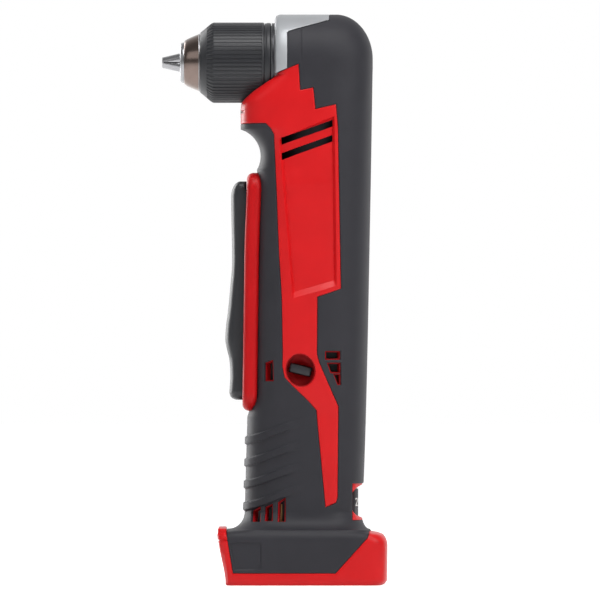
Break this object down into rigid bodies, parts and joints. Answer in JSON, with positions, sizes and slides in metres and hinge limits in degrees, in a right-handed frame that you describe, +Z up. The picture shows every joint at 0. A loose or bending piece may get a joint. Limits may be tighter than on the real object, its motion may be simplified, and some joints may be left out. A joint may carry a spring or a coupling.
{
  "type": "right angle drill",
  "caption": "Cordless right-angle drill on its battery foot: keyless chuck at right angles to a slim gripped body, with a paddle trigger, reversing shuttle and spare-bit clip.",
  "frame": {"origin": "on the motor axis, on the mid-plane, at the base of the foot", "axes": "+Z up along the body, -X out of the chuck, -Y to the tool's left side"},
  "size_m": [0.1154, 0.076, 0.292],
  "materials": {
    "red_shell": "satin",
    "black_rubber": "matte",
    "black_plastic": "satin",
    "cast_metal": "satin",
    "chrome_nose": "polished",
    "steel": "satin",
    "dark_steel": "satin",
    "magnet": "matte",
    "carbon": "matte",
    "copper": "satin",
    "lamination": "satin",
    "board": "matte",
    "lens": "polished",
    "lead_sleeve": "matte"
  },
  "bodies": {
    "housing": {"left_housing": "red_shell", "right_housing": "red_shell", "left_overmold": "black_rubber", "right_overmold": "black_rubber", "housing_screws": "dark_steel", "gear_case": "cast_metal", "case_isolator": "black_rubber", "front_bearing": "steel", "retaining_ring": "steel", "rear_bearing": "steel", "pinion_bearing": "steel", "ring_gear": "steel", "motor_plate": "cast_metal", "motor_screws": "steel", "motor_can": "steel", "motor_magnets": "magnet", "motor_front_bearing": "steel", "motor_rear_bearing": "steel", "brush_card": "black_plastic", "carbon_brushes": "carbon", "trigger_pin": "steel", "trigger_switch": "black_plastic", "led_board": "board", "led_lens": "lens", "terminal_block": "black_plastic", "terminal_blades": "copper", "battery_leads": "lead_sleeve", "motor_leads": "lead_sleeve", "bit_clip": "red_shell"},
    "output": {"spindle": "steel", "bevel_gear": "steel", "chuck_body": "steel", "chuck_collar": "black_plastic", "chuck_nose": "chrome_nose", "chuck_screw": "steel"},
    "sleeve": {"chuck_sleeve": "black_plastic", "chuck_nut": "steel"},
    "jaw_1": {"chuck_jaw_1": "steel"},
    "jaw_2": {"chuck_jaw_2": "steel"},
    "jaw_3": {"chuck_jaw_3": "steel"},
    "carrier": {"bevel_pinion": "steel", "planet_carrier": "steel", "planet_pins": "steel"},
    "planet_1": {"planet_gear_1": "steel"},
    "planet_2": {"planet_gear_2": "steel"},
    "planet_3": {"planet_gear_3": "steel"},
    "armature": {"motor_shaft": "steel", "sun_gear": "steel", "armature_core": "lamination", "armature_winding": "copper", "commutator": "copper", "cooling_fan": "black_plastic"},
    "trigger": {"paddle_trigger": "black_plastic"},
    "plunger": {"switch_plunger": "steel"},
    "shuttle": {"direction_shuttle": "black_plastic"},
    "bit": {"spare_bit": "dark_steel"}
  },
  "joints": [
    {"name": "spindle_spin", "type": "hinge", "parent": "housing", "child": "output", "pos_m": [-0.03, 0, 0.2673], "axis": [-1, 0, 0], "continuous": true},
    {"name": "carrier_spin", "type": "hinge", "parent": "housing", "child": "carrier", "pos_m": [0, 0, 0.23], "axis": [0, 0, 1], "continuous": true},
    {"name": "planet_1_spin", "type": "hinge", "parent": "carrier", "child": "planet_1", "pos_m": [0.0099, 0, 0.222], "axis": [0, 0, 1], "continuous": true},
    {"name": "planet_2_spin", "type": "hinge", "parent": "carrier", "child": "planet_2", "pos_m": [-0.00495, 0.00857, 0.222], "axis": [0, 0, 1], "continuous": true},
    {"name": "planet_3_spin", "type": "hinge", "parent": "carrier", "child": "planet_3", "pos_m": [-0.00495, -0.00857, 0.222], "axis": [0, 0, 1], "continuous": true},
    {"name": "armature_spin", "type": "hinge", "parent": "housing", "child": "armature", "pos_m": [0, 0, 0.17], "axis": [0, 0, 1], "continuous": true},
    {"name": "sleeve_turn", "type": "hinge", "parent": "output", "child": "sleeve", "pos_m": [-0.04, 0, 0.2673], "axis": [-1, 0, 0], "range_deg": [0, 4095]},
    {"name": "jaw_1_slide", "type": "slide", "parent": "output", "child": "jaw_1", "axis": [0.9659, 0.2588, 0], "range_m": [0, 0.0183]},
    {"name": "jaw_2_slide", "type": "slide", "parent": "output", "child": "jaw_2", "axis": [0.9659, -0.1294, -0.2241], "range_m": [0, 0.0183]},
    {"name": "jaw_3_slide", "type": "slide", "parent": "output", "child": "jaw_3", "axis": [0.9659, -0.1294, 0.2241], "range_m": [0, 0.0183]},
    {"name": "trigger_press", "type": "hinge", "parent": "housing", "child": "trigger", "pos_m": [-0.0255, 0, 0.199], "axis": [0, -1, 0], "range_deg": [0, 3.6], "stiffness_Nm_per_rad": 8, "springref_deg": -1.72},
    {"name": "plunger_slide", "type": "slide", "parent": "housing", "child": "plunger", "axis": [1, 0, 0], "range_m": [0, 0.0065]},
    {"name": "shuttle_slide", "type": "slide", "parent": "housing", "child": "shuttle", "axis": [0, 1, 0], "range_m": [-0.003, 0.003]},
    {"name": "bit_pull", "type": "slide", "parent": "housing", "child": "bit", "axis": [1, 0, 0], "range_m": [0, 0.014]}
  ],
  "couplings": [
    {"joint": "carrier_spin", "follows": "spindle_spin", "ratio": 2.6364},
    {"joint": "planet_1_spin", "follows": "spindle_spin", "ratio": -7.0303},
    {"joint": "planet_2_spin", "follows": "spindle_spin", "ratio": -7.0303},
    {"joint": "planet_3_spin", "follows": "spindle_spin", "ratio": -7.0303},
    {"joint": "armature_spin", "follows": "spindle_spin", "ratio": 13.182},
    {"joint": "jaw_1_slide", "follows": "sleeve_turn", "m_per_rad": 0.00025465},
    {"joint": "jaw_2_slide", "follows": "sleeve_turn", "m_per_rad": 0.00025465},
    {"joint": "jaw_3_slide", "follows": "sleeve_turn", "m_per_rad": 0.00025465},
    {"joint": "plunger_slide", "follows": "trigger_press", "m_per_rad": 0.1}
  ]
}
